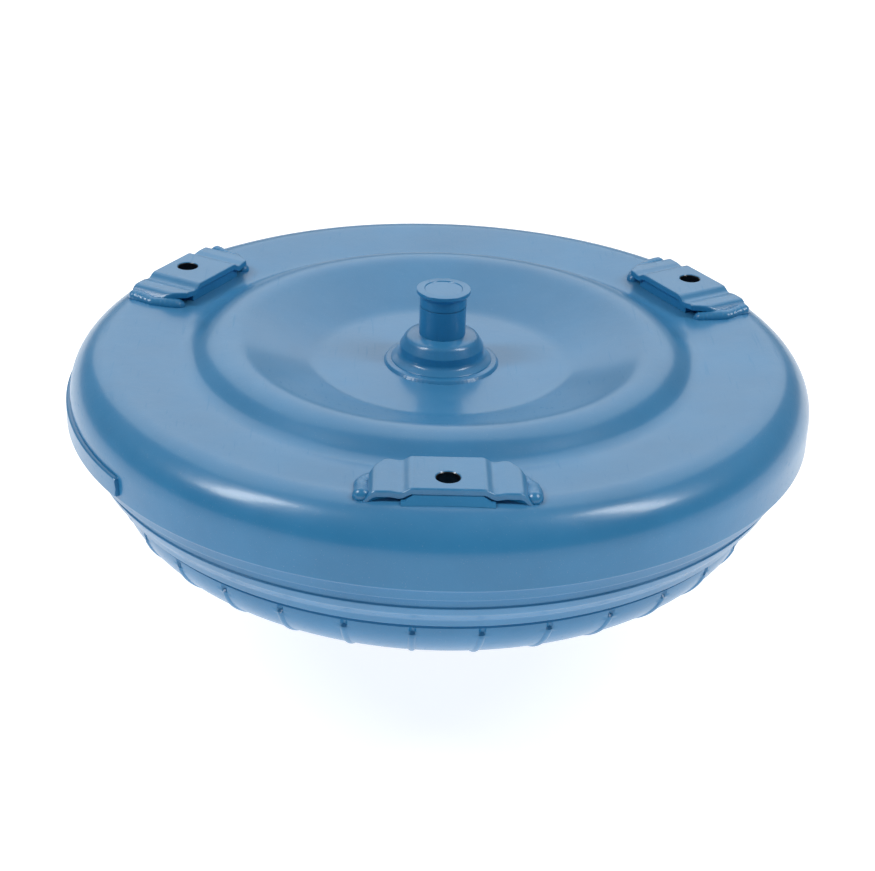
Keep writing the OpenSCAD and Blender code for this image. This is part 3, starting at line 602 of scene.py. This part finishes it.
weld_height = hub_flange - 3 * mm
hub_bead = rounded([
    (flange_radius - 2.6 * mm, weld_height + 0.05 * mm, 0),
    (flange_radius - 1.4 * mm, weld_height - 1.9 * mm, 1.2 * mm),
    (flange_radius + 1.6 * mm, weld_height - 1.9 * mm, 1.2 * mm),
    (flange_radius + 3 * mm, weld_height + 0.05 * mm, 0)])
hub_weld = surface("hub_weld_bead", [beaded(hub_bead, 540, 120, 0.03)], across=True, sharp=50)
fit(hub_weld, "housing", turned_paint, "hub_weld")


# Pump hub
# The ground steel tube that runs in the gearbox's pump bush, with two slots that drive the pump.
# It is left bare, and turning and grinding leave fine rings round it.


def turned_steel(name, shade, rings=2400):
    """Bare machined steel: fine rings along Z from the tool, with faint smears of oil."""
    material, shader, place = new_finish(name, Metallic=1.0)
    tool = place.scaled(0.02, 0.02, 1).noise(rings, 3)
    smear = place.noise(70, 4, 0.6)
    colour = (0.3 * tool + 0.7 * smear).tint(
        (shade * 0.80, shade * 0.80, shade * 0.82, 1), (shade * 1.1, shade * 1.1, shade * 1.12, 1))
    feed(shader, colour, 0.20 + 0.16 * smear + 0.08 * tool, tool, 0.02 * mm)
    return material


bare_steel = turned_steel("bare_turned_steel", 0.55)
hard_steel = turned_steel("hardened_steel", 0.30, 900)
steel_nodes = [m["node"] for m in frame["record"]["subparts"] if m["material_slot"] == "steel"]
dark_nodes = [m["node"] for m in frame["record"]["subparts"] if m["material_slot"] == "dark_steel"]


def coat(nodes, material):
    """Puts one material on CAD nodes whose shapes are kept."""
    for node in nodes:
        frame["nodes"][node].data.materials.clear()
        frame["nodes"][node].data.materials.append(material)


coat(steel_nodes, bare_steel)
coat(dark_nodes, hard_steel)


# Stator
# The bladed wheel between pump and turbine. It is die-cast in aluminium and left as cast.


def cast_aluminium():
    """Dull cast skin with a fine pebbled relief and darker patches at random."""
    material, shader, place = new_finish("cast_aluminium", Metallic=1.0)
    pebble = place.noise(1100, 4, 0.7)
    patch = place.noise(90, 3)
    colour = patch.tint((0.46, 0.47, 0.48, 1), (0.66, 0.67, 0.68, 1))
    feed(shader, colour, 0.42 + 0.18 * pebble, pebble, 0.08 * mm)
    return material


coat(["stator_wheel"], cast_aluminium())


# Bearing cages
# The needle cages of the two thrust bearings, stamped from brass strip.


def stamped_brass():
    """Brass with rolling streaks and a slightly brown, oily tarnish."""
    material, shader, place = new_finish("stamped_brass", Metallic=1.0)
    streaks = place.scaled(1, 0.1, 1).noise(1600, 3)
    tarnish = place.noise(160, 4)
    colour = tarnish.tint((0.50, 0.34, 0.13, 1), (0.70, 0.52, 0.24, 1))
    feed(shader, colour, 0.24 + 0.2 * tarnish, streaks, 0.02 * mm)
    return material


coat(["turbine_bearing_cage", "hub_bearing_cage"], stamped_brass())


# Friction lining
# The ring of fibrous friction paper bonded to the lock-up piston.


def friction_paper():
    """Brown pressed fibre: short fibres as stretched noise, in a mottled ground."""
    material, shader, place = new_finish("friction_paper")
    fibres = place.scaled(1, 0.15, 1).noise(2200, 4, 0.7)
    mottle = place.noise(300, 4)
    colour = (0.5 * fibres + 0.5 * mottle).tint((0.10, 0.06, 0.03, 1), (0.26, 0.18, 0.10, 1))
    feed(shader, colour, 0.80 + 0.15 * mottle, fibres, 0.06 * mm)
    return material


coat(["friction_lining"], friction_paper())


# Piston seal and thrust washer
# Rings of filled sealing polymer, moulded and faintly mottled by their filler.


def filled_polymer():
    """Near-black polymer with fine filler specks and a satin skin."""
    material, shader, place = new_finish("filled_polymer")
    filler = place.noise(1800, 2).ramp(0.6, 0.75)
    colour = filler.tint((0.018, 0.018, 0.020, 1), (0.06, 0.06, 0.065, 1))
    feed(shader, colour, 0.42 + 0.2 * place.noise(400, 2), filler, 0.02 * mm)
    return material


coat(["piston_seal", "cover_thrust_washer"], filled_polymer())


# Studio
# A plain pale floor, dim even surroundings and three soft lights: a large one above and behind, and
# a strip above each side.

floor_mesh = bpy.data.meshes.new("floor")
reach = 12.0
floor_mesh.from_pydata(
    [(-reach, -reach, 0), (reach, -reach, 0), (reach, reach, 0), (-reach, reach, 0)], [], [(0, 1, 2, 3)])
floor = bpy.data.objects.new("floor", floor_mesh)
bpy.context.scene.collection.objects.link(floor)
floor_finish, floor_shader, _ = new_finish("pale_floor", Roughness=0.9)
floor_shader.inputs["Base Color"].default_value = (0.5, 0.5, 0.5, 1)
floor_shader.inputs["Emission Color"].default_value = (1, 1, 1, 1)
floor_shader.inputs["Emission Strength"].default_value = 0.84
floor_mesh.materials.append(floor_finish)

surroundings = bpy.data.worlds.new("surroundings")
bpy.context.scene.world = surroundings
surroundings.use_nodes = True
surroundings.node_tree.nodes["Background"].inputs["Color"].default_value = (1.0, 1.0, 1.0, 1)
surroundings.node_tree.nodes["Background"].inputs["Strength"].default_value = 0.18


def soft_light(name, place, aim, width, height, power):
    """A rectangular light at place that faces aim."""
    lamp = bpy.data.lights.new(name, "AREA")
    lamp.shape, lamp.size, lamp.size_y, lamp.energy = "RECTANGLE", width, height, power
    light = bpy.data.objects.new(name, lamp)
    position, target = np.array(place), np.array(aim)
    light.rotation_mode = "QUATERNION"
    light.rotation_quaternion = Vector(target - position).to_track_quat("-Z", "Y")
    light.location = place
    bpy.context.scene.collection.objects.link(light)


soft_light("back_light", (0.0, 1.75, 1.8), (0, 0, 0.1), 3.0, 2.7, 28)
soft_light("left_strip", (-0.84, -0.24, 1.05), (0, 0, 0.1), 0.24, 0.6, 7)
soft_light("right_strip", (0.84, -0.24, 1.05), (0, 0, 0.1), 0.24, 0.6, 6)

camera_data = bpy.data.cameras.new("camera")
camera_data.lens, camera_data.sensor_width = 79.98, 36.0
camera = bpy.data.objects.new("camera", camera_data)
bpy.context.scene.collection.objects.link(camera)
bpy.context.scene.camera = camera
camera_turn, camera_down, camera_roll = np.radians([-1.78, 63.19, 2.08])
camera.matrix_world = (
    Matrix.Rotation(camera_turn, 4, "Z") @ Matrix.Translation((-0.3 * mm, -620.4 * mm, 385.8 * mm))
    @ Matrix.Rotation(camera_down, 4, "X") @ Matrix.Rotation(camera_roll, 4, "Z"))
bpy.context.scene.view_settings.view_transform = "Standard"
